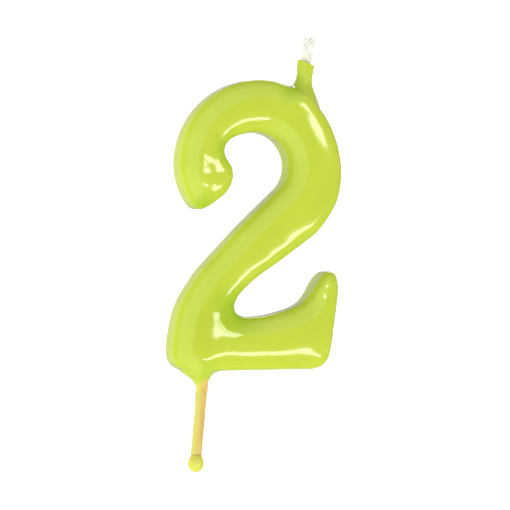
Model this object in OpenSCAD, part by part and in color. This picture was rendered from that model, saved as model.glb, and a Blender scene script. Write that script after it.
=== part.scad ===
// A dipped birthday candle in the shape of the figure 2, with its wick
// and the wooden pick that stands it in a cake.
// The numeral stands in the XZ plane with its face towards -Y.
// The origin is where the pick leaves the numeral's underside.

/* [Numeral] */
// Height of the numeral, from its underside to its crown
height = 61.2; // [56:0.2:72]
// Depth of the numeral, from its front face to its back face
depth = 10; // [8:0.5:12]
// Radius of the soft edge around both faces
edge_r = 1.5; // [1.2:0.1:1.8]
// Thickness of the coloured wax coat
coat_t = 0.6; // [0.4:0.1:0.8]

/* [Wick] */
// Length of bare wick above the wax
bare_wick = 5; // [3:0.5:6]
// Diameter of the wax sleeve around the wick
sleeve_d = 3.4; // [3:0.1:4]
// Diameter of the channel that holds the wick
channel_d = 2.4; // [2.4:0.1:2.8]
// Radius of one yarn of the braid
yarn_r = 0.36; // [0.3:0.02:0.36]
// Length of wick in which a yarn crosses over and back once
braid_pitch = 8; // [7:0.5:12]

/* [Pick] */
// Diameter of the wooden pick
pick_d = 2; // [1.8:0.1:2.2]
// Length of pick below the numeral
pick_out = 20.2; // [15:0.1:28]
// Length of pick inside the wax
pick_in = 14; // [9:0.5:15]
// Lean of the pick from the vertical
pick_lean = 5.2; // [3:0.1:6]
// Thinnest wax on the pick
film_t = 0.08; // [0.06:0.02:0.2]
// Diameter of the drip bead at the pick's lower end
bead_d = 3.4; // [3.2:0.1:4]

/* [Hidden] */

// The outline is drawn at this height and scaled to the one wanted.
drawn_h = 61.2;
grow = height / drawn_h;

// Braid: how far a yarn swings sideways and front to back
braid_side = 0.8;
braid_front = 0.5;
yarn_sides = 6;
ring_gap = 0.62;

// Wick route from the tip down: [straight length, turn after it, bend radius]
wick_tip = [22.8, 69.6] * grow;
wick_heading = 187;
wick_legs = [[11 * grow, -12, 20], [13.4 * grow, 54, 10], [22 * grow, 0, 0]];
leg_ends = [for (i = 0, s = 0; i < len(wick_legs); s = s + leg_length(wick_legs[i]), i = i + 1)
            s + leg_length(wick_legs[i])];
wick_length = leg_ends[len(wick_legs) - 1];

// The wick channel's straight legs reach this far into its wider bends
reach_in = 0.6;
bend_play = 0.1;

// Wax around the wick where it leaves the numeral
sleeve_l = 9 * grow;
sleeve_foot_r = 2.6;
sleeve_foot = [21.4, 57.2] * grow;
sleeve_foot_tilt = 35;

// Wax that ran from the numeral onto the pick
film_r = pick_d / 2 + 2 * film_t;
skirt_l = 4.5;
skirt_base_r = 4.2;
skirt_top = 1;
skirt_lean = -6;

// Pick's point and the drip bead below it
point_l = 4;
point_d = 0.6;
bead_neck_l = 1.9;
bead_low = -pick_out - 1.2;

function unit(v) = v / norm(v);
function rad(a) = a * PI / 180;
function dir(a) = [sin(a), cos(a)];
function leg_length(leg) = leg[0] + rad(abs(leg[1])) * leg[2];
function along(h) = h * [sin(pick_lean), 0, cos(pick_lean)];
function arc(c, r, a0, a1, step) =
  [for (a = [a0:step:a1]) c + r * [cos(a), sin(a)]];

// Corners of the figure 2, anticlockwise over the crown from its left side
knots = grow * concat(
  arc([11.85, 43.35], 17.85, 186, 102, -21),
  arc([11.5, 43.9], 17.3, 80, 14, -22),
  // bowl's right side and the diagonal's lower edge
  [[29.1, 44.6], [29.3, 41.6], [29.1, 38.8], [28.5, 36], [27.3, 33.5], [25.8, 31.2],
   [23.8, 28.8], [21.2, 26.8], [18.6, 24.9], [16, 23], [13.5, 21.3], [11.2, 19.7],
   [9.1, 18], [7.3, 16.2], [6.2, 14.5], [5.9, 12.9], [6.8, 11.7], [8.8, 11.3]],
  // top of the foot, its raised tip and the right end
  [[11.6, 11.4], [14.8, 12], [17.7, 12.8], [20.3, 13.9], [22.1, 15.7], [23.4, 17.9],
   [24.8, 20], [26.4, 21], [27.8, 20.5], [28.5, 18.6], [28.5, 15.6], [28, 11.6],
   [27.4, 7.4], [26.9, 4], [26.1, 1.9], [24.7, 0.6], [22.6, 0.2], [20, 0.2]],
  // underside and the left end
  [[8, 0], [-2.4, 0], [-4.6, 0.1], [-6.5, 0.9], [-7.5, 2.6], [-7.65, 4.8], [-7.25, 8],
   [-6.6, 11.2], [-5.4, 14.6], [-3.6, 17.7], [-1.6, 20.6]],
  // diagonal's upper edge
  [[0.6, 23.1], [3.6, 26.2], [7.2, 30], [10.8, 33.5], [14.4, 36.9]],
  arc([10.6, 42.9], 7.1, -30, 90, 24),
  // top stroke's rounded end
  [[8.4, 49.7], [6, 49], [4.4, 47.8], [3.75, 46.3], [4.2, 44.7], [5.3, 43.2],
   [5.75, 41.4], [5.4, 39.3], [4.2, 37.3], [2.3, 35.7], [0.3, 34.4], [-1.3, 33.7],
   [-2.8, 34.3], [-3.9, 35.9], [-4.9, 37.9]]
);

// A smooth closed curve through the corners, with steps points to each
function slope(a, b, c) =
  let(before = norm(b - a), after = norm(c - b))
  ((b - a) / before * after + (c - b) / after * before) / (before + after);
function between(p, q, m, n, t) =
  (2*t^3 - 3*t^2 + 1) * p + (t^3 - 2*t^2 + t) * m
  + (3*t^2 - 2*t^3) * q + (t^3 - t^2) * n;
function smooth_loop(k, steps) =
  let(n = len(k))
  [for (i = [0:n - 1], j = [0:steps - 1])
    let(a = k[(i + n - 1) % n], b = k[i], c = k[(i + 1) % n], d = k[(i + 2) % n],
        span = norm(c - b))
    between(b, c, slope(a, b, c) * span, slope(b, c, d) * span, j / steps)];
outline = smooth_loop(knots, 2);

// Place and heading on the wick's middle line, s along it from the tip:
// [x, z, heading]
function on_bend(at, turn, r, s) =
  let(swept = sign(turn) * s / r * 180 / PI,
      side = [dir(at[2])[1], -dir(at[2])[0]] * sign(turn))
  [at[0] + r * (side[0] * (1 - cos(swept)) + dir(at[2])[0] * sin(abs(swept))),
   at[1] + r * (side[1] * (1 - cos(swept)) + dir(at[2])[1] * sin(abs(swept))),
   at[2] + swept];
function on_wick(s, i = 0, at = [wick_tip[0], wick_tip[1], wick_heading]) =
  let(leg = wick_legs[i],
      straight = min(s, leg[0]),
      bend_start = [at[0] + dir(at[2])[0] * straight, at[1] + dir(at[2])[1] * straight, at[2]],
      bend = rad(abs(leg[1])) * leg[2])
  s <= leg[0] || leg[2] == 0 ? bend_start
  : s <= leg[0] + bend ? on_bend(bend_start, leg[1], leg[2], s - leg[0])
  : on_wick(s - leg[0] - bend, i + 1, on_bend(bend_start, leg[1], leg[2], bend));

// Middle of a yarn of the braid, s along the wick, phase in degrees
function yarn_middle(s, phase) =
  let(at = on_wick(s), swing = 360 * s / braid_pitch + phase,
      side = braid_side * sin(swing), front = braid_front * sin(2 * swing))
  [at[0] + side * cos(at[2]), front, at[1] - side * sin(at[2])];
function yarn_ring(s, phase) =
  let(c = yarn_middle(s, phase), along = unit(yarn_middle(s + 0.05, phase) - c),
      across = unit(cross([0, 1, 0], along)), up = cross(along, across))
  [for (i = [0:yarn_sides - 1])
    c + yarn_r * (across * cos(360 * i / yarn_sides) + up * sin(360 * i / yarn_sides))];

// A ball with a point at each end of its upright axis
module ball(r, around = 16)
  rotate_extrude($fn = around)
    polygon(concat([[0, -r]],
                   [for (a = [-90 + 360 / around:360 / around:90 - 360 / around])
                    r * [cos(a), sin(a)]],
                   [[0, r]]));

// The numeral with its skin in set back from the outside
module numeral(in)
  rotate([90, 0, 0])
    minkowski() {
      linear_extrude(depth - 2 * edge_r, center = true)
        offset(delta = -edge_r) polygon(outline);
      ball(edge_r - in);
    }

// Children placed at the wick's tip, with +Z running down the wick
module at_tip()
  translate([wick_tip[0], 0, wick_tip[1]]) rotate([0, wick_heading, 0]) children();

// A round rod of diameter d that follows the wick's route from leg i on.
// It is a little wider in its bends, and the straight legs reach into them.
module route_rod(d, i = 0) {
  leg = wick_legs[i];
  bends_on = leg[2] > 0;
  before = i > 0 ? reach_in : 0;
  after = bends_on ? reach_in : 0;
  translate([0, 0, -before])
    cylinder(h = before + leg[0] + after, d = d, $fn = 32);
  if (bends_on)
    translate([0, 0, leg[0]]) mirror([leg[1] < 0 ? 1 : 0, 0, 0]) {
      translate([leg[2], 0, 0]) rotate([90, 0, 0]) rotate([0, 0, 180 - abs(leg[1])])
        rotate_extrude(angle = abs(leg[1]), $fn = 96)
          translate([leg[2], 0]) circle(d = d + bend_play, $fn = 32);
      translate([leg[2] * (1 - cos(leg[1])), 0, leg[2] * sin(abs(leg[1]))])
        rotate([0, abs(leg[1]), 0]) mirror([leg[1] < 0 ? 1 : 0, 0, 0])
          route_rod(d, i + 1);
    }
}

// Children placed along the pick, with +Z running up into the wax
module along_pick() rotate([0, pick_lean, 0]) children();

module pick_stick()
  along_pick() {
    translate([0, 0, -pick_out])
      cylinder(h = pick_out + pick_in - point_l, d = pick_d, $fn = 48);
    translate([0, 0, pick_in - point_l])
      cylinder(h = point_l, d1 = pick_d, d2 = point_d, $fn = 48);
  }

module sleeve() {
  at_tip() translate([0, 0, bare_wick])
    cylinder(h = sleeve_l, d = sleeve_d, $fn = 32);
  hull() {
    at_tip() translate([0, 0, bare_wick + 3.4])
      cylinder(h = 0.1, d = sleeve_d, $fn = 32);
    translate([sleeve_foot[0], 0, sleeve_foot[1]]) rotate([0, sleeve_foot_tilt, 0])
      cylinder(h = 0.8, r = sleeve_foot_r, $fn = 32);
  }
}

// The skirt narrows in a hollow curve from the underside to the film
module skirt() {
  low = along(-skirt_l);
  curve = [for (t = [0:0.125:1])
           [film_r + 0.05 + (skirt_base_r - film_r) * pow(t, 2.6), t * skirt_l]];
  translate([low[0], 0, low[2]]) rotate([0, skirt_lean, 0])
    rotate_extrude($fn = 48)
      polygon(concat([[0, 0]], curve, [[skirt_base_r, skirt_l], [0, skirt_l + skirt_top]]));
}

module wax_core()
  color("palegoldenrod")
    difference() {
      numeral(coat_t);
      at_tip() route_rod(channel_d);
      pick_stick();
    }

module colour_coat()
  color("yellowgreen")
    difference() {
      union() {
        numeral(0);
        sleeve();
        skirt();
      }
      numeral(coat_t);
      at_tip() route_rod(channel_d);
      pick_stick();
    }

module wick_yarn(phase) {
  rings = floor(wick_length / ring_gap);
  points = [for (i = [0:rings], p = yarn_ring(i * wick_length / rings, phase)) p];
  n = yarn_sides;
  sides = [for (i = [0:rings - 1], j = [0:n - 1])
           let(a = i * n + j, b = i * n + (j + 1) % n)
           for (f = [[a, b + n, b], [a, a + n, b + n]]) f];
  tip_end = [for (j = [0:n - 1]) j];
  buried_end = [for (j = [n - 1:-1:0]) rings * n + j];
  color("ivory") polyhedron(points, concat(sides, [tip_end, buried_end]));
}
module wick_yarn_1() wick_yarn(0);
module wick_yarn_2() wick_yarn(120);
module wick_yarn_3() wick_yarn(240);

module pick()
  color("burlywood") pick_stick();

// The film is thicker on the side that the pick leans to
module pick_film()
  color("khaki")
    difference() {
      along_pick() translate([-film_t, 0, bead_neck_l - pick_out])
        cylinder(h = pick_out - bead_neck_l - skirt_l + 0.5, r = film_r, $fn = 48);
      skirt();
      pick_stick();
    }

module drip_bead()
  color("yellowgreen")
    difference() {
      along_pick() translate([-film_t, 0, 0])
        rotate_extrude($fn = 48)
          polygon(concat(
            [[0, bead_low]],
            [for (a = [-75:15:30]) [0, bead_low + bead_d / 2] + bead_d / 2 * [cos(a), sin(a)]],
            [[film_r + 0.1, bead_neck_l - pick_out - 0.5], [film_r, bead_neck_l - pick_out],
             [0, bead_neck_l - pick_out]]));
      pick_stick();
    }

wax_core();
colour_coat();
wick_yarn_1();
wick_yarn_2();
wick_yarn_3();
pick();
pick_film();
drip_bead();
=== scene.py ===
import math
import random

import bmesh
import bpy
import numpy as np
from mathutils import Matrix, Vector, noise
from mathutils.kdtree import KDTree


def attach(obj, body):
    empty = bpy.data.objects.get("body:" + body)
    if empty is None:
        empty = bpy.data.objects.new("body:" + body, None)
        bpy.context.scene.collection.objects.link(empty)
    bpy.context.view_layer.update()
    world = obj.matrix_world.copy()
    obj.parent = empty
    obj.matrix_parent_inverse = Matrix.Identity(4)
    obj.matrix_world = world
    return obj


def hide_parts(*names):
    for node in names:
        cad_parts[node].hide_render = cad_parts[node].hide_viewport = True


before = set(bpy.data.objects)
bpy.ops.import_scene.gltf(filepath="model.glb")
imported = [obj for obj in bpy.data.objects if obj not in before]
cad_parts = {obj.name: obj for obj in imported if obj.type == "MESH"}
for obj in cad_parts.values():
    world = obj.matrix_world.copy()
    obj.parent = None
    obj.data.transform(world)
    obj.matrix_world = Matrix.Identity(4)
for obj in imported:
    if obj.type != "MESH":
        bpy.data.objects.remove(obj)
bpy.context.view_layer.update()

MM = 0.001
UP = Vector((0, 0, 1))
BACK = Vector((0, 1, 0))

# ---------------------------------------------------------------- the candle's measures, in mm
# The numeral stands in the XZ plane, its face towards -Y, and the pick leaves it at the origin.
COAT_T = 0.5
SKIRT_L = 4.5
# The pick's reach into the wax and out of it, and its lean, which takes its lower end to the left
PICK_R = 1.0
PICK_IN = 14.0
PICK_OUT = 20.2
PICK_LEAN = math.radians(5.2)
POINT_L = 4.0
POINT_R = 0.3
# The film on the pick: its plain thickness, and its outer radius before its runs are shaped
FILM_T = 0.08
FILM_R = PICK_R + 2 * FILM_T
# The bead and its neck, with heights along the pick
BEAD_R = 1.7
BEAD_TOP = 1.9 - PICK_OUT
BEAD_LOW = -PICK_OUT - 1.2
NECK_TOP = BEAD_TOP + 0.5
NECK_R = 1.18

# The quads of the coat's skin and of the core's
COAT_QUAD = 0.364
CORE_QUAD = 0.4
# The bevelled band along the left edges, the soft fall to the others, and the back's share of both
BAND_DEPTH = 1.5
BAND_WIDTH = 3.6
FALL_DEPTH = 1.0
FALL_WIDTH = 5.6
BACK_SHARE = 0.4

# Where the wax stands a little proud of the face: X, Z, height, radius
MOUNDS = ((-1.2, 4.3, 0.85, 9.6), (-2.8, 40.6, 0.5, 5.5), (24.0, 17.3, 0.42, 3.0))
# Where the front falls away more widely to its edge: X, Z, full radius, fade, strength
WIDE_FALLS = ((6.5, 12.3, 1.0, 4.5, 0.8), (15.0, 26.5, 1.5, 6.5, 0.3), (23.0, 3.0, 1.0, 6.0, 0.35),
              (-0.5, 40.0, 2.0, 6.0, 0.3))
# The tip of the foot, where the band on the left is shallower: X, Z
FOOT_TIP = (25.3, 17.5)
# Where the sleeve grows out of the crown: X, Z
SLEEVE_FOOT = (21.0, 58.0)
# Spots painted a deeper green as shade, in the numeral's hollows and at the pick's root: X, Z, full radius,
# fade, strength
PAINTED_SHADE_SPOTS = ((6.3, 12.8, 1.2, 6.5, 1.0), (5.0, 46.2, 0.8, 4.5, 1.0), (-1.2, 33.8, 0.6, 3.6, 0.9),
         (18.3, 59.8, 0.5, 4.0, 0.9), (-0.3, -0.5, 0.8, 3.2, 0.45))

# The wick's route from its tip down: straight length, turn after it, bend radius
WICK_TIP = (22.8, 69.6)
WICK_HEADING = 187.0
WICK_LEGS = ((11.0, -12.0, 20.0), (13.4, 54.0, 10.0), (22.0, 0.0, 0.0))
BARE_WICK = 5.0
SLEEVE_R = 1.7
# The cone that blends the sleeve into the crown: how far its middle is from the wick's tip, length, wide end
FLARE_DOWN = 11.4
FLARE_L = 5.4
FLARE_R = 4.5
# The braid: how far a yarn swings to the sides and to the front, the length of a swing, and of a step
BRAID_SIDE = 0.8
BRAID_FRONT = 0.5
BRAID_PITCH = 8.0
BRAID_STEP = 0.3
# A yarn's plies: how many, their radius, the ring they lie on, the length of a twist, and of the frayed tip
PLIES = 9
PLY_R = 0.15
PLY_RING = 0.34
PLY_PITCH = 3.4
FRAY = 3.2
# A yarn's loose fibres: how many, and the height none passes
FIBRES = 26
FIBRE_TOP = 70.3


# ---------------------------------------------------------------- small helpers

def object_of(bm, name):
    """An object at the origin that holds the bmesh, scaled from mm to metres."""
    bmesh.ops.scale(bm, vec=(MM, MM, MM), verts=bm.verts)
    mesh = bpy.data.meshes.new(name)
    bm.to_mesh(mesh)
    bm.free()
    piece = bpy.data.objects.new(name, mesh)
    bpy.context.scene.collection.objects.link(piece)
    return piece


def dress(piece, finish):
    """Gives the piece its one material and smooth shading."""
    piece.data.materials.clear()
    piece.data.materials.append(finish)
    piece.data.shade_smooth()


def settle(piece):
    """Applies the modifiers that the piece carries."""
    graph = bpy.context.evaluated_depsgraph_get()
    mesh = bpy.data.meshes.new_from_object(piece.evaluated_get(graph))
    old = piece.data
    piece.modifiers.clear()
    piece.data = mesh
    mesh.name = old.name
    bpy.data.meshes.remove(old)
    return piece


def cad_copy(node):
    """A bmesh of a CAD node in mm, its loose triangles joined up."""
    bm = bmesh.new()
    bm.from_mesh(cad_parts[node].data)
    bmesh.ops.scale(bm, vec=(1 / MM, 1 / MM, 1 / MM), verts=bm.verts)
    bmesh.ops.remove_doubles(bm, verts=bm.verts, dist=1e-4)
    return bm


def points_of(mesh):
    """The mesh's vertices in mm."""
    co = np.empty(len(mesh.vertices) * 3, np.float32)
    mesh.vertices.foreach_get("co", co)
    return co.reshape(-1, 3).astype(float) / MM


def normals_of(mesh):
    no = np.empty(len(mesh.vertices) * 3, np.float32)
    mesh.vertex_normals.foreach_get("vector", no)
    return no.reshape(-1, 3).astype(float)


def move_points(mesh, points):
    mesh.vertices.foreach_set("co", (points * MM).astype(np.float32).ravel())
    mesh.update()


def ease(x):
    """0 below 0, 1 above 1, smooth between."""
    x = np.clip(x, 0, 1)
    return x * x * (3 - 2 * x)


def group_from(piece, name, weights):
    """A vertex group of these weights, rounded to twentieths."""
    group = piece.vertex_groups.new(name=name)
    steps = np.round(np.clip(weights, 0, 1) * 20).astype(int)
    for step in range(1, 21):
        members = np.nonzero(steps == step)[0].tolist()
        if members:
            group.add(members, step / 20, "REPLACE")
    return group


def along_pick(h):
    """The point on the pick's axis at height h."""
    return Vector((h * math.sin(PICK_LEAN), 0, h * math.cos(PICK_LEAN)))


def pick_turn():
    """Leans what was made upright as the pick leans."""
    return Matrix.Rotation(PICK_LEAN, 4, "Y")


def heading(angle):
    """The direction this many degrees from up, towards the numeral's right."""
    return Vector((math.sin(math.radians(angle)), 0, math.cos(math.radians(angle))))


def down_wick(s):
    """The point s mm down from the wick's tip, on its first straight run."""
    return Vector((WICK_TIP[0], 0, WICK_TIP[1])) + heading(WICK_HEADING) * s


def wick_points(step):
    """(point, heading) all along the wick's middle line, step apart from its tip down."""
    out = []
    at, angle = down_wick(0), WICK_HEADING
    carry = 0.0
    for length, turn, radius in WICK_LEGS:
        s = carry
        while s <= length:
            out.append((at + heading(angle) * s, angle))
            s += step
        at = at + heading(angle) * length
        carry = s - length
        bend = math.radians(abs(turn)) * radius
        side = math.copysign(1, turn)
        centre = at + side * radius * heading(angle + 90)
        s = carry
        while s <= bend and radius > 0:
            swept = side * math.degrees(s / radius)
            out.append((centre - side * radius * heading(angle + 90 + swept), angle + swept))
            s += step
        at = centre - side * radius * heading(angle + 90 + turn)
        carry = s - bend
        angle += turn
    return out


# ---------------------------------------------------------------- shader writing

class Socket:
    """A shader value; arithmetic on it adds Math nodes."""

    def __init__(self, paint, socket):
        self.paint, self.socket = paint, socket

    def math(self, operation, *others):
        values = dict(enumerate((self, *others)))
        return self.paint.node("ShaderNodeMath", {"operation": operation}, values)

    def __add__(self, other):
        return self.math("ADD", other)

    def __sub__(self, other):
        return self.math("SUBTRACT", other)

    def __rsub__(self, other):
        return (self * -1).math("ADD", other)

    def __mul__(self, other):
        return self.math("MULTIPLY", other)

    __radd__ = __add__
    __rmul__ = __mul__

    def between(self, low, high):
        """0 at low, 1 at high, smooth between."""
        settings = {"interpolation_type": "SMOOTHSTEP", "clamp": True}
        inputs = {"Value": self, "From Min": low, "From Max": high}
        return self.paint.node("ShaderNodeMapRange", settings, inputs)


class Paint:
    """A material with a Principled shader, and one method that adds any other node."""

    def __init__(self, name, **constants):
        self.material = bpy.data.materials.new(name)
        self.material.use_nodes = True
        self.tree = self.material.node_tree
        self.shader = next(n for n in self.tree.nodes if n.type == "BSDF_PRINCIPLED")
        for key, value in constants.items():
            self.shader.inputs[key.replace("_", " ")].default_value = value

    def node(self, kind, settings, inputs, output=0):
        """Adds a node, sets it up, feeds its sockets and gives back one of its outputs."""
        made = self.tree.nodes.new(kind)
        for key, value in settings.items():
            setattr(made, key, value)
        for key, value in inputs.items():
            self.feed(made.inputs[key], value)
        return Socket(self, made.outputs[output])

    def feed(self, socket, value):
        if isinstance(value, Socket):
            self.tree.links.new(value.socket, socket)
        else:
            socket.default_value = value

    def place(self):
        return self.node("ShaderNodeTexCoord", {}, {}, "Object")

    def axis(self, letter):
        """The object's X, Y or Z in mm."""
        return self.node("ShaderNodeSeparateXYZ", {}, {0: self.place()}, letter) * (1 / MM)

    def stored(self, name):
        """A value that the mesh holds at each vertex."""
        return self.node("ShaderNodeAttribute", {"attribute_name": name}, {}, "Fac")

    def noise(self, per_mm, detail=2.0, stretch=(1, 1, 1)):
        """Noise from 0 to 1 with this many lumps in a millimetre; a stretch under 1 draws it out."""
        scaled = self.node("ShaderNodeMapping", {}, {"Vector": self.place(), "Scale": stretch})
        inputs = {"Vector": scaled, "Scale": per_mm / MM, "Detail": detail}
        return self.node("ShaderNodeTexNoise", {}, inputs, "Fac")

    def mix(self, factor, a, b):
        """Colour a where factor is 0, b where it is 1."""
        made = self.tree.nodes.new("ShaderNodeMix")
        made.data_type = "RGBA"
        for socket, value in zip((made.inputs[0], made.inputs[6], made.inputs[7]), (factor, a, b)):
            self.feed(socket, value)
        return Socket(self, made.outputs[2])

    def bump(self, height, depth_mm):
        return self.node("ShaderNodeBump", {}, {"Height": height, "Distance": depth_mm * MM})

    def finish(self, **links):
        for key, value in links.items():
            self.feed(self.shader.inputs[key.replace("_", " ")], value)
        return self.material


def rgb(r, g, b):
    return (r, g, b, 1.0)


# ---------------------------------------------------------------- finishes

LIME = rgb(0.51, 0.585, 0.043)
LIME_DEEP = rgb(0.475, 0.56, 0.035)
# painted light: the paler lime of the band along the left edges
LIME_PAINTED_LIGHT = rgb(0.53, 0.63, 0.105)
# painted shade: the deeper green of the hollows and of the edges of the front
GREEN_PAINTED_SHADE = rgb(0.31, 0.49, 0.012)
FILM_LIME = rgb(0.67, 0.62, 0.135)
FILM_ON_WOOD = rgb(0.80, 0.58, 0.16)
# wood seen through the thin skirt, darkened a little by painted shade
SKIRT_ON_WOOD_SHADED = rgb(0.68, 0.48, 0.13)


def coat_finish():
    """Dipped lime wax: glossy, slightly translucent, with painted light (a paler band and a highlight line)
    along its left edges, and painted shade, deeper green, in its hollows and along the edges of its front.
    """
    paint = Paint("dipped lime wax", Subsurface_Weight=0.3, Subsurface_Scale=0.2 * MM,
                  Subsurface_Radius=(0.8, 1.0, 0.25), IOR=1.45, Coat_Roughness=0.04, Coat_IOR=1.45)
    clouds = paint.noise(0.12, detail=3)
    speckle = paint.noise(1.6, detail=2)
    base = paint.mix(clouds.between(0.3, 0.7), LIME_DEEP, LIME)
    # painted light: a paler band, with a painted highlight line, along the left edges
    base = paint.mix(paint.stored("edge") * 0.75, base, LIME_PAINTED_LIGHT)
    # painted shade: a deeper green in the hollows and along the edges of the front
    base = paint.mix(paint.stored("hollow") * 0.85, base, GREEN_PAINTED_SHADE)
    # where the skirt thins it shows the wood through the wax; its woody colour holds a little painted shade
    base = paint.mix(paint.stored("thin"), base, paint.mix(paint.stored("thick"), SKIRT_ON_WOOD_SHADED, FILM_LIME))
    swell = paint.noise(0.35, detail=1)
    bump = paint.bump(swell + speckle * 0.03, 0.035)
    return paint.finish(Base_Color=base, Roughness=0.1 + speckle * 0.05, Coat_Weight=0.4 + clouds * 0.1,
                        Normal=bump)


def core_finish():
    """Cast paraffin: pale, satin."""
    paint = Paint("cast paraffin", Subsurface_Weight=0.3, Subsurface_Scale=1.5 * MM, IOR=1.44)
    clouds = paint.noise(0.25, detail=4)
    grain = paint.noise(4.0, detail=2)
    base = paint.mix(clouds, rgb(0.74, 0.70, 0.50), rgb(0.84, 0.82, 0.66))
    return paint.finish(Base_Color=base, Roughness=0.38 + grain * 0.15, Normal=paint.bump(grain, 0.02))


def cotton_finish():
    """Bleached cotton soaked with a little wax."""
    paint = Paint("waxed cotton", Subsurface_Weight=0.4, Subsurface_Scale=0.5 * MM,
                  Subsurface_Radius=(1.0, 1.0, 0.8), Sheen_Weight=0.3)
    lint = paint.noise(6.0, detail=3)
    low = paint.axis("Z").between(68.5, 64.0)
    base = paint.mix(lint, rgb(0.85, 0.85, 0.73), rgb(0.94, 0.94, 0.86))
    base = paint.mix(low * 0.6, base, rgb(0.96, 0.92, 0.62))
    return paint.finish(Base_Color=base, Roughness=0.75 - lint * 0.15, Normal=paint.bump(lint, 0.03))


def wood_finish():
    """Birch stick with long grain, warm where the wax film wets it."""
    paint = Paint("waxed birch", IOR=1.5)
    grain = paint.noise(3.2, detail=4, stretch=(1, 1, 0.06))
    fleck = paint.noise(7.0, detail=2, stretch=(1, 1, 0.15))
    base = paint.mix(grain.between(0.3, 0.7), rgb(0.62, 0.38, 0.12), rgb(0.82, 0.56, 0.22))
    base = paint.mix(fleck.between(0.62, 0.75) * 0.5, base, rgb(0.50, 0.26, 0.09))
    bump = paint.bump(grain + fleck * 0.4, 0.03)
    return paint.finish(Base_Color=base, Roughness=0.5 - grain * 0.15, Normal=bump)


def film_finish():
    """The thin wax film on the pick, which lets the wood show."""
    paint = Paint("thin lime film", IOR=1.45, Coat_Weight=1.0, Coat_Roughness=0.05)
    streaks = paint.noise(1.1, detail=3, stretch=(1, 1, 0.14))
    thick = paint.stored("thick")
    bare_wood = (1 - thick) * streaks.between(0.4, 0.62) * 0.5
    base = paint.mix(bare_wood, paint.mix(thick, FILM_ON_WOOD, FILM_LIME), rgb(0.66, 0.38, 0.09))
    return paint.finish(Base_Color=base, Roughness=0.18 + streaks * 0.1,
                        Alpha=0.78 + thick * 0.12 + streaks * 0.08, Normal=paint.bump(streaks, 0.04))


def drip_finish():
    """The drop that set at the pick's end: lime and clear, painted paler than the coat's lime for the light
    that comes through so small a drop.
    """
    paint = Paint("set drip of lime wax", Subsurface_Weight=0.4, Subsurface_Scale=0.4 * MM, IOR=1.45,
                  Coat_Weight=0.5, Coat_Roughness=0.04)
    clouds = paint.noise(0.8, detail=2)
    neck = paint.axis("Z").between(BEAD_TOP - 1.2, NECK_TOP)
    # painted light: the drop's lime is paler than the coat's, for the light coming through it
    base = paint.mix(clouds, rgb(0.60, 0.62, 0.085), rgb(0.66, 0.67, 0.12))
    base = paint.mix(neck * 0.7, base, rgb(0.55, 0.50, 0.07))
    return paint.finish(Base_Color=base, Roughness=0.16 + clouds * 0.06, Normal=paint.bump(clouds, 0.03))


# ---------------------------------------------------------------- the coat

def fill_rod(bm, centre, direction, length, first_r, last_r):
    """Adds a closed rod or cone to the bmesh, centred on a point, and gives back its vertices."""
    turn = direction.to_track_quat("Z", "Y").to_matrix().to_4x4()
    made = bmesh.ops.create_cone(bm, cap_ends=True, segments=32, radius1=first_r, radius2=last_r,
                                 depth=length, matrix=Matrix.Translation(centre) @ turn)
    return made["verts"]


def keep_largest(bm):
    """Deletes every island of faces but the one with the most of them."""
    left, islands = set(bm.verts), []
    while left:
        stack, island = [left.pop()], []
        while stack:
            v = stack.pop()
            island.append(v)
            for e in v.link_edges:
                w = e.other_vert(v)
                if w in left:
                    left.discard(w)
                    stack.append(w)
        islands.append(island)
    islands.sort(key=len)
    bmesh.ops.delete(bm, geom=[v for island in islands[:-1] for v in island], context="VERTS")


def even_skin(piece, size):
    """Remeshes a closed piece into even quads of this size in mm."""
    remesh = piece.modifiers.new("even skin", "REMESH")
    remesh.mode = "VOXEL"
    remesh.voxel_size = size * MM
    settle(piece)


def solid_outside():
    """The outside of coat and core as one closed skin of even small quads."""
    bm = cad_copy("colour_coat")
    core = cad_copy("wax_core")
    spare = bpy.data.meshes.new("spare")
    core.to_mesh(spare)
    core.free()
    bm.from_mesh(spare)
    bpy.data.meshes.remove(spare)
    # rods longer than the sleeve and the skirt fill them, so that the ends can be cut clean later
    down = heading(WICK_HEADING)
    sleeve_r, skirt_r = SLEEVE_R + 0.2, PICK_R + 0.38
    skirt_middle = along_pick(-2) - Vector((0.08, 0, 0))
    fill_rod(bm, down_wick(BARE_WICK + 3.75), down, 14.5, sleeve_r, sleeve_r)
    fill_rod(bm, skirt_middle, along_pick(1), 2 * SKIRT_L + 4, skirt_r, skirt_r)
    flare = fill_rod(bm, down_wick(FLARE_DOWN), -down, FLARE_L, FLARE_R, SLEEVE_R)
    bmesh.ops.scale(bm, vec=(1, 1.1, 1), verts=flare)
    piece = object_of(bm, "colour_coat_dipped")
    even_skin(piece, COAT_QUAD)
    bm = bmesh.new()
    bm.from_mesh(piece.data)
    keep_largest(bm)
    bm.to_mesh(piece.data)
    bm.free()
    return piece


def smooth_by(piece, rounds, weights=None):
    """Smooths the piece this many times over, all of it or as much as the weights say."""
    smoother = piece.modifiers.new("smooth", "SMOOTH")
    smoother.factor = 0.5
    smoother.iterations = rounds
    if weights is not None:
        smoother.vertex_group = group_from(piece, "soften", weights).name
    settle(piece)
    piece.vertex_groups.clear()


def outline_of(piece):
    """A search tree of points on the numeral's outline, seen from the front."""
    points, normals = points_of(piece.data), normals_of(piece.data)
    x, y, z = points.T
    wall = (np.abs(y) < 1.2) & (np.abs(normals[:, 1]) < 0.35) & (z > -0.3) & (z < 61.6)
    found = np.nonzero(wall)[0][::2]
    tree = KDTree(len(found))
    for i, k in enumerate(found):
        tree.insert((x[k], 0, z[k]), i)
    tree.balance()
    return tree


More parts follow.
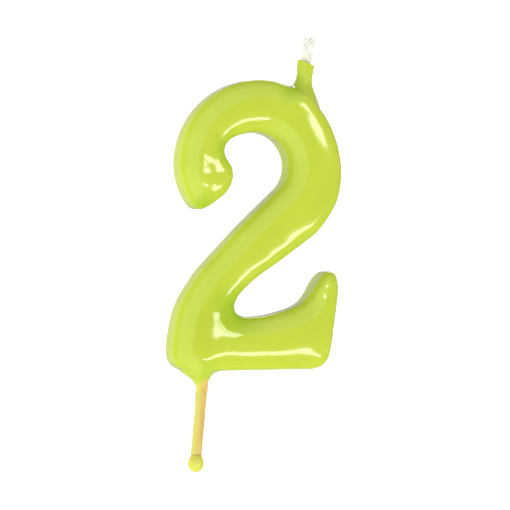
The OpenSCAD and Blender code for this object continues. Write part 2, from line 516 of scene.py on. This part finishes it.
def to_edge(points, tree):
    """From each point to the nearest one on the outline: distance in mm, and the way there in X and Z."""
    nearest = np.array([tree.find((px, 0, pz))[0] for px, _, pz in points])
    across = nearest[:, (0, 2)] - points[:, (0, 2)]
    distance = np.linalg.norm(across, axis=1)
    return distance, across / np.maximum(distance, 0.01)[:, None]


def lumps(points, size, seed):
    """Soft noise of about -1 to 1, with lumps of this size in mm."""
    shift = Vector((seed * 17.3, seed * 5.1, seed * 9.7))
    return np.array([noise.noise(Vector(p) / size + shift) for p in points])


def near(points, x, z, full, fade):
    """1 within full mm of a place on the numeral, 0 from fade mm further out, front and back alike."""
    away = np.hypot(points[:, 0] - x, points[:, 2] - z)
    return 1 - ease((away - full) / fade)


def close_to(points, place, full, fade):
    """1 within full mm of a point in space, 0 from fade mm further out."""
    away = np.linalg.norm(points - np.array(place), axis=1)
    return 1 - ease((away - full) / fade)


def dome(points, x, z, height, radius):
    """A low round dome on the numeral's face."""
    away = np.hypot(points[:, 0] - x, points[:, 2] - z)
    return height * (1 - np.clip(away / radius, 0, 1) ** 2) ** 2


def diffuse(mesh, values, rounds):
    """Evens out one value a vertex over the mesh."""
    edges = np.empty(len(mesh.edges) * 2, np.int32)
    mesh.edges.foreach_get("vertices", edges)
    a, b = edges.reshape(-1, 2).T
    count = np.bincount(a, minlength=len(values)) + np.bincount(b, minlength=len(values))
    for _ in range(rounds):
        total = (np.bincount(a, values[b], minlength=len(values))
                 + np.bincount(b, values[a], minlength=len(values)))
        values = 0.5 * values + 0.5 * total / np.maximum(count, 1)
    return values


def drained_side(across):
    """1 where the nearest edge is a lower or a right one, to which the wax drained, 0 on the left."""
    return ease((across @ np.array((0.8, -0.3)) + 0.25) / 0.5)


def crown_faces(piece, tree):
    """The front has a bevelled band along its left edges, and falls away softly to its lower and right ones."""
    points = points_of(piece.data)
    distance, across = to_edge(points, tree)
    drained = diffuse(piece.data, drained_side(across), 12)
    pooled = sum(strength * near(points, *place) for *place, strength in WIDE_FALLS)
    soft = (FALL_DEPTH + 0.2 * pooled) * (1 - np.clip(distance / (FALL_WIDTH + 5.0 * pooled), 0, 1)) ** 2
    band = BAND_DEPTH * (1 - np.clip(distance / BAND_WIDTH, 0, 1)) ** 1.1
    band *= 1 - 0.75 * near(points, *FOOT_TIP, 1.2, 3.5)
    mound = sum(dome(points, *place) for place in MOUNDS)
    swell = 0.035 * lumps(points, 7.0, 3) + 0.012 * lumps(points, 2.6, 2) + mound * (points[:, 1] < 0)
    side = np.sign(points[:, 1])
    on_face = (ease((np.abs(points[:, 1]) - 0.3) / 3.2) * ease((62 - points[:, 2]) / 1.5)
               * ease((points[:, 2] + 0.8) / 0.8))
    fall = (drained * soft + (1 - drained) * band) * np.where(side < 0, 1.0, BACK_SHARE)
    fall *= 1 - 0.85 * near(points, *SLEEVE_FOOT, 0.8, 3.6)
    points[:, 1] -= side * on_face * diffuse(piece.data, fall - swell, 6)
    move_points(piece.data, points)


def painted_light_band(piece, distance, across):
    """Painted light: 1 on the band along the left edges, which is painted paler as if lit more strongly, with a
    painted highlight line inside it.
    """
    band = ease((distance - 0.4) / 1.0) * (1 - ease((distance - 3.3) / 0.6))
    line = np.exp(-((distance - 3.5) / 0.3) ** 2)
    return diffuse(piece.data, (1 - drained_side(across)) * np.clip(0.8 * band + 0.35 * line, 0, 1), 2)


def hollowness(piece):
    """Painted shade: 1 in the hollows of the form and at the listed spots, which are painted a deeper green, 0
    elsewhere.
    """
    before, normals = points_of(piece.data), normals_of(piece.data)
    copy = piece.copy()
    copy.data = piece.data.copy()
    bpy.context.scene.collection.objects.link(copy)
    smooth_by(copy, 90)
    rise = ((points_of(copy.data) - before) * normals).sum(axis=1)
    bpy.data.meshes.remove(copy.data)
    curved = ease((rise - 0.015) / 0.15) * ease((before[:, 2] + 0.3) / 2.0)
    shaded_spots = sum(strength * near(before, *pool) for *pool, strength in PAINTED_SHADE_SPOTS)
    return diffuse(piece.data, np.clip(np.maximum(curved, shaded_spots), 0, 1), 6)


def store(piece, name, values):
    """Keeps one value a vertex on the mesh, for its material to read."""
    attribute = piece.data.attributes.new(name, "FLOAT", "POINT")
    attribute.data.foreach_set("value", np.asarray(values, np.float32))


def film_side(x, y):
    """1 on the left of the pick, where the film ran thick, 0 on its right; x and y point out from its axis."""
    return ease((0.26 * y - 0.966 * x + 0.45) / 0.95)


def store_film(piece, points):
    """Where the skirt thins to a film on the pick, and how thick that film is round about."""
    height = points @ np.array(along_pick(1))
    offset = points - height[:, None] * np.array(along_pick(1))
    radius = np.linalg.norm(offset, axis=1)
    left = film_side(offset[:, 0] / np.maximum(radius, 0.01), offset[:, 1] / np.maximum(radius, 0.01))
    top = -0.9 - 0.9 * left
    thin = ease((top - height) / 1.8) * ease((2.6 - radius) / 0.8)
    store(piece, "thin", thin)
    store(piece, "thick", left)


def open_ends(piece):
    """Cuts the sleeve's slanting rim and the skirt's lower end."""
    bm = bmesh.new()
    bm.from_mesh(piece.data)
    rim = (down_wick(BARE_WICK - 0.1), Vector((0.42, 0, 1)))
    hem = (along_pick(-SKIRT_L + 0.1), -along_pick(1))
    for point, outward in (rim, hem):
        bmesh.ops.bisect_plane(bm, geom=bm.verts[:] + bm.edges[:] + bm.faces[:], plane_co=point * MM,
                               plane_no=outward, clear_outer=True)
    bm.to_mesh(piece.data)
    bm.free()


def make_coat(finish):
    """The dipped coat, a thin wall over the core; gives back the tree of its outline."""
    piece = solid_outside()
    smooth_by(piece, 14)
    # the sleeve's foot and the skirt's root blend into the numeral
    points = points_of(piece.data)
    near_foot = close_to(points, down_wick(12.0), 3.4, 3.6)
    near_root = close_to(points, (-0.4, 0, 0.8), 2.2, 4.2)
    smooth_by(piece, 60, np.maximum(near_foot, near_root))
    smooth_by(piece, 60, near_foot)
    tree = outline_of(piece)
    crown_faces(piece, tree)
    smooth_by(piece, 4)
    distance, across = to_edge(points_of(piece.data), tree)
    flat = ease((np.abs(normals_of(piece.data)[:, 1]) - 0.25) / 0.4)
    # painted shade: a deeper green along the edges of the front, joined to the painted shade of the hollows
    rim = 0.22 * flat * (1 - ease((distance - 0.3) / 1.3))
    store(piece, "hollow", np.maximum(hollowness(piece), rim))
    # painted light: the paler band and the highlight line along the left edges
    store(piece, "edge", flat * painted_light_band(piece, distance, across))
    open_ends(piece)
    points = points_of(piece.data)
    store_film(piece, points)
    # the wall thins down the skirt
    low = 1 - ease((points[:, 2] + 4.4) / 3.5)
    group_from(piece, "wall", 1 - 0.72 * low)
    wall = piece.modifiers.new("wall", "SOLIDIFY")
    wall.thickness = COAT_T * MM
    wall.offset = -1
    wall.vertex_group = "wall"
    wall.use_even_offset = False
    settle(piece)
    piece.vertex_groups.clear()
    dress(piece, finish)
    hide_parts("colour_coat")
    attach(piece, "root")
    return tree


def make_core(tree):
    """The cast core, with the same crown as the coat that covers it."""
    piece = object_of(cad_copy("wax_core"), "wax_core_cast")
    even_skin(piece, CORE_QUAD)
    smooth_by(piece, 3)
    crown_faces(piece, tree)
    dress(piece, core_finish())
    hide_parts("wax_core")
    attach(piece, "root")


# ---------------------------------------------------------------- the wick

def add_strand(curve, points, radii):
    """Adds one open strand to a curve; radii are shares of its bevel depth."""
    spline = curve.splines.new("POLY")
    spline.points.add(len(points) - 1)
    for target, p, r in zip(spline.points, points, radii):
        target.co = (p[0] * MM, p[1] * MM, p[2] * MM, 1)
        target.radius = r


def bare(s):
    """1 where no wax holds the braid in, 0 inside the sleeve, s mm down from its tip."""
    return float(ease((BARE_WICK + 0.4 - s) / 1.2))


def braid_middle(line, phase):
    """(point, sideways direction) along one yarn of the braid."""
    out = []
    for i, (p, angle) in enumerate(line):
        across = heading(angle + 90)
        swing = 2 * math.pi * i * BRAID_STEP / BRAID_PITCH + phase
        offset = across * BRAID_SIDE * math.sin(swing) + BACK * (BRAID_FRONT * math.sin(2 * swing))
        out.append((p + offset * (1 - 0.25 * bare(i * BRAID_STEP)), across))
    return out


def add_plies(curve, middles, chance):
    """The yarn's plies, twisted round its middle; each opens and thins in its own way at the tip."""
    for k in range(PLIES):
        lean = Vector((chance.uniform(-0.1, 0.45), chance.uniform(-0.3, 0.3), 0))
        first = chance.randrange(3)
        rise = chance.uniform(0.6, 1.4)
        points, radii = [], []
        for i, (m, across) in enumerate(middles[first:], first):
            s = i * BRAID_STEP
            turn = 2 * math.pi * (s / PLY_PITCH + k / PLIES)
            loose = max(0, 1 - s / FRAY) ** 2
            ring_r = PLY_RING * (1 + 0.9 * bare(s) + 0.3 * loose)
            ring = ring_r * (across * math.cos(turn) + BACK * math.sin(turn))
            points.append(m + ring + (lean + UP * rise) * loose)
            radii.append(1 + 0.3 * bare(s) - 0.45 * loose)
        add_strand(curve, points, radii)


def add_heart(curve, middles):
    """The plain heart that the plies wrap."""
    radii = [1.2 + 2.4 * bare(i * BRAID_STEP) for i in range(len(middles))]
    add_strand(curve, [m for m, _ in middles], radii)


def add_fibres(curve, middles, chance):
    """Loose fibres that spring out of the bare yarn and up."""
    for _ in range(FIBRES):
        m, across = middles[chance.randrange(1, 16)]
        turn = chance.uniform(0, 2 * math.pi)
        out = across * math.cos(turn) + BACK * math.sin(turn)
        length = chance.uniform(0.8, 1.8)
        spring = chance.uniform(0.12, 0.4)
        points = []
        for t in (0, 0.25, 0.5, 0.75, 1):
            rise = min(length * t, FIBRE_TOP - m.z)
            points.append(m + out * (0.3 + spring * t * t) + UP * rise)
        add_strand(curve, points, [0.3, 0.3, 0.27, 0.22, 0.15])


def make_yarn(number, finish):
    """One yarn of the braid: plies twisted round a heart, which open and fray at the tip."""
    middles = braid_middle(wick_points(BRAID_STEP), math.radians(120 * (number - 1)))
    chance = random.Random(number)
    curve = bpy.data.curves.new(f"wick_yarn_{number}_spun", "CURVE")
    curve.dimensions = "3D"
    curve.bevel_depth = PLY_R * MM
    curve.bevel_resolution = 1
    curve.use_fill_caps = True
    add_plies(curve, middles, chance)
    add_heart(curve, middles)
    add_fibres(curve, middles, chance)
    piece = bpy.data.objects.new(curve.name, curve)
    bpy.context.scene.collection.objects.link(piece)
    graph = bpy.context.evaluated_depsgraph_get()
    mesh = bpy.data.meshes.new_from_object(piece.evaluated_get(graph))
    bpy.data.objects.remove(piece)
    piece = bpy.data.objects.new(curve.name, mesh)
    bpy.context.scene.collection.objects.link(piece)
    dress(piece, finish)
    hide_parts(f"wick_yarn_{number}")
    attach(piece, "root")


# ---------------------------------------------------------------- the pick, its film and the bead

def lathe(profile, closed=False):
    """Spins a profile of (radius, height) in mm round Z; a closed one makes a ring."""
    bm = bmesh.new()
    verts = [bm.verts.new((r, 0, h)) for r, h in profile]
    pairs = list(zip(verts, verts[1:]))
    if closed:
        pairs.append((verts[-1], verts[0]))
    edges = [bm.edges.new(pair) for pair in pairs]
    bmesh.ops.spin(bm, geom=verts + edges, cent=(0, 0, 0), axis=(0, 0, 1), angle=2 * math.pi,
                   steps=64, use_merge=True)
    bmesh.ops.remove_doubles(bm, verts=bm.verts, dist=1e-4)
    bmesh.ops.recalc_face_normals(bm, faces=bm.faces)
    return bm


def spread(low, high, count):
    """This many evenly spaced values, both ends among them."""
    return [low + (high - low) * i / (count - 1) for i in range(count)]


def make_pick():
    """The turned stick, its point up inside the wax, a little uneven along its grain."""
    profile = [(0, -PICK_OUT), (PICK_R * 0.9, -PICK_OUT), (PICK_R, -PICK_OUT + 0.12)]
    profile += [(PICK_R, h) for h in spread(-PICK_OUT + 0.8, PICK_IN - POINT_L, 40)]
    profile += [(POINT_R, PICK_IN - 0.15), (POINT_R * 0.6, PICK_IN), (0, PICK_IN)]
    bm = lathe(profile)
    for v in bm.verts:
        v.co.xy *= 1 - 0.02 * (1 + noise.noise(Vector((v.co.x * 2.5, v.co.y * 2.5, v.co.z * 0.12))))
    bmesh.ops.transform(bm, matrix=pick_turn(), verts=bm.verts)
    piece = object_of(bm, "pick_turned")
    dress(piece, wood_finish())
    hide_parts("pick")
    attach(piece, "root")


def film_thickness(x, y, height):
    """The film is thick on one side and runs in long streaks."""
    streak = noise.noise(Vector((x, y, height * 0.09)) * 1.7)
    return FILM_T * (0.5 + 2.2 * film_side(x, y)) * (1 + 0.35 * streak)


def make_film():
    """A thin tube of wax on the pick, from inside the skirt down to the bead's neck."""
    top, low = -SKIRT_L + 1.2, NECK_TOP + 0.02
    heights = spread(low, top, 48)
    profile = [(PICK_R + 0.005, h) for h in heights] + [(FILM_R, h) for h in reversed(heights)]
    bm = lathe(profile, closed=True)
    values = []
    for v in bm.verts:
        out = v.co.xy.normalized()
        if v.co.xy.length > PICK_R + 0.05:
            under_skirt = ease((v.co.z - top + 1.3) / 1.2)
            flow = 0.12 * film_side(*out) * ease((v.co.z - top + 5.5) / 4.0)
            v.co.xy = out * (PICK_R + 0.02 + (film_thickness(*out, v.co.z) + flow) * (1 - under_skirt))
        values.append(film_side(*out))
    bmesh.ops.transform(bm, matrix=pick_turn(), verts=bm.verts)
    piece = object_of(bm, "pick_film_run")
    store(piece, "thick", values)
    dress(piece, film_finish())
    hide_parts("pick_film")
    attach(piece, "root")


def make_bead(finish):
    """A drop that hangs on the pick's end, with a neck that flares down from the film."""
    centre = BEAD_LOW + BEAD_R
    profile = [(0, BEAD_LOW)]
    profile += [(BEAD_R * math.cos(math.radians(a)), centre + BEAD_R * math.sin(math.radians(a)))
                for a in range(-80, 11, 10)]
    start = profile[-1][1]
    for t in (0.15, 0.3, 0.45, 0.6, 0.8, 1):
        flare = BEAD_R - (BEAD_R - NECK_R) * (3 * t * t - 2 * t ** 3)
        profile.append((flare, start + (NECK_TOP - start) * t))
    inside = PICK_R + 0.005
    profile += [(inside, NECK_TOP), (inside, -PICK_OUT - 0.005), (0, -PICK_OUT - 0.005)]
    bm = lathe(profile)
    bmesh.ops.transform(bm, matrix=pick_turn(), verts=bm.verts)
    piece = object_of(bm, "drip_bead_set")
    dress(piece, finish)
    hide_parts("drip_bead")
    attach(piece, "root")


# ---------------------------------------------------------------- stage, lights and camera

# The camera looks from a little left of the front; distances in metres, the width it takes in in mm
VIEW_AZIMUTH = math.radians(-15)
RIGHT = Vector((math.cos(VIEW_AZIMUTH), math.sin(VIEW_AZIMUTH), 0))
FORWARD = Vector((-math.sin(VIEW_AZIMUTH), math.cos(VIEW_AZIMUTH), 0))
CAMERA_AWAY = 1.2
LAMP_AWAY = 0.9
SENSOR_WIDTH = 36
VIEW_WIDTH = 107.1


def toward(azimuth, elevation):
    """The direction that is this far round from the front of the numeral, to its right, and this far up."""
    turn, rise = math.radians(azimuth), math.radians(elevation)
    return Vector((math.sin(turn) * math.cos(rise), -math.cos(turn) * math.cos(rise), math.sin(rise)))


def lamp(name, azimuth, elevation, spans, brightness, glossy=True, diffuse=True):
    """A soft box, as many degrees wide and high as spans says; brightness in W a square metre."""
    width, height = (2 * LAMP_AWAY * math.tan(math.radians(span / 2)) for span in spans)
    light = bpy.data.lights.new(name, "AREA")
    light.shape = "RECTANGLE"
    light.size, light.size_y = width, height
    light.energy = brightness * width * height
    box = bpy.data.objects.new(name, light)
    middle = RIGHT * 10 * MM + UP * 24 * MM
    box.location = middle + toward(azimuth, elevation) * LAMP_AWAY
    box.rotation_euler = (-toward(azimuth, elevation)).to_track_quat("-Z", "Y").to_euler()
    box.visible_glossy = glossy
    box.visible_diffuse = diffuse
    box.visible_camera = False
    bpy.context.scene.collection.objects.link(box)


def floor_steps(run, bend, rise):
    """The moves of a floor's edge: straight back, round a quarter bend, and up."""
    steps = [(0, run, 0)]
    for degrees in range(15, 91, 15):
        was, now = math.radians(degrees - 15), math.radians(degrees)
        back = bend * math.sin(now) - bend * math.sin(was)
        up = bend * math.cos(was) - bend * math.cos(now)
        steps.append((0, back, up))
    return steps + [(0, 0, rise)]


def make_stage():
    """A pale floor under the bead that sweeps up far behind the numeral."""
    low = BEAD_LOW * math.cos(PICK_LEAN) - 0.05
    half, back, bend = 2000.0, 1700.0, 300
    bm = bmesh.new()
    a, b = bm.verts.new((-half, -half, low)), bm.verts.new((half, -half, low))
    edge = bm.edges.new((a, b))
    for step in floor_steps(half + back - bend, bend, 1400):
        out = bmesh.ops.extrude_edge_only(bm, edges=[edge])
        verts = [g for g in out["geom"] if isinstance(g, bmesh.types.BMVert)]
        edges = [g for g in out["geom"] if isinstance(g, bmesh.types.BMEdge)]
        edge = next(e for e in edges if set(e.verts) == set(verts))
        bmesh.ops.translate(bm, vec=step, verts=verts)
    bmesh.ops.rotate(bm, cent=(0, 0, 0), matrix=Matrix.Rotation(VIEW_AZIMUTH, 3, "Z"), verts=bm.verts)
    piece = object_of(bm, "pale_floor")
    paint = Paint("pale floor", Emission_Color=rgb(1, 1, 1), Emission_Strength=0.6)
    fibre = paint.noise(0.02, detail=2)
    paper = paint.mix(fibre, rgb(0.93, 0.93, 0.93), rgb(0.95, 0.95, 0.95))
    dress(piece, paint.finish(Base_Color=paper, Roughness=0.9))
    piece.visible_glossy = False
    piece.visible_shadow = False


def make_lights():
    world = bpy.data.worlds.new("studio")
    bpy.context.scene.world = world
    world.use_nodes = True
    background = world.node_tree.nodes["Background"]
    background.inputs["Color"].default_value = rgb(1, 1, 1)
    background.inputs["Strength"].default_value = 0.28
    # the two panes of a window on the upper right and a long strip below on the right make the gloss
    lamp("window_lower_pane", 28.5, 10, (16, 5.5), 30)
    lamp("window_upper_pane", 29.5, 16.2, (11, 4), 30)
    lamp("low_strip", 25, -17, (28, 5), 30)
    # one more window behind gives the back its gloss
    lamp("back_window", 155, 42, (26, 9), 14, diffuse=False)
    # a white card behind brightens the walls that are seen at a low angle
    lamp("rim_card", 178, 0, (90, 80), 0.7, diffuse=False)
    # large soft boxes light the colour, and leave no gloss
    lamp("front_fill", -20, 10, (70, 60), 0.88, glossy=False)
    lamp("right_fill", 60, 25, (60, 60), 0.9, glossy=False)
    lamp("left_fill", -85, 10, (60, 60), 3.3, glossy=False)
    lamp("top_fill", 10, 80, (70, 70), 2.2, glossy=False)
    lamp("back_fill", -118, 15, (70, 60), 4.5, glossy=False)


def make_camera():
    camera = bpy.data.objects.new("camera", bpy.data.cameras.new("camera"))
    bpy.context.scene.collection.objects.link(camera)
    camera.data.sensor_width = SENSOR_WIDTH
    camera.data.lens = SENSOR_WIDTH * CAMERA_AWAY / (VIEW_WIDTH * MM)
    camera.data.clip_start, camera.data.clip_end = 0.05, 10
    aim = RIGHT * 10.71 * MM + UP * 24.26 * MM
    camera.location = aim - FORWARD * CAMERA_AWAY
    camera.rotation_euler = FORWARD.to_track_quat("-Z", "Y").to_euler()
    bpy.context.scene.camera = camera


make_camera()
make_lights()
make_stage()
bpy.context.scene.view_settings.view_transform = "Standard"

dipped = coat_finish()
make_core(make_coat(dipped))
make_bead(drip_finish())
cotton = cotton_finish()
for number in (1, 2, 3):
    make_yarn(number, cotton)
make_pick()
make_film()
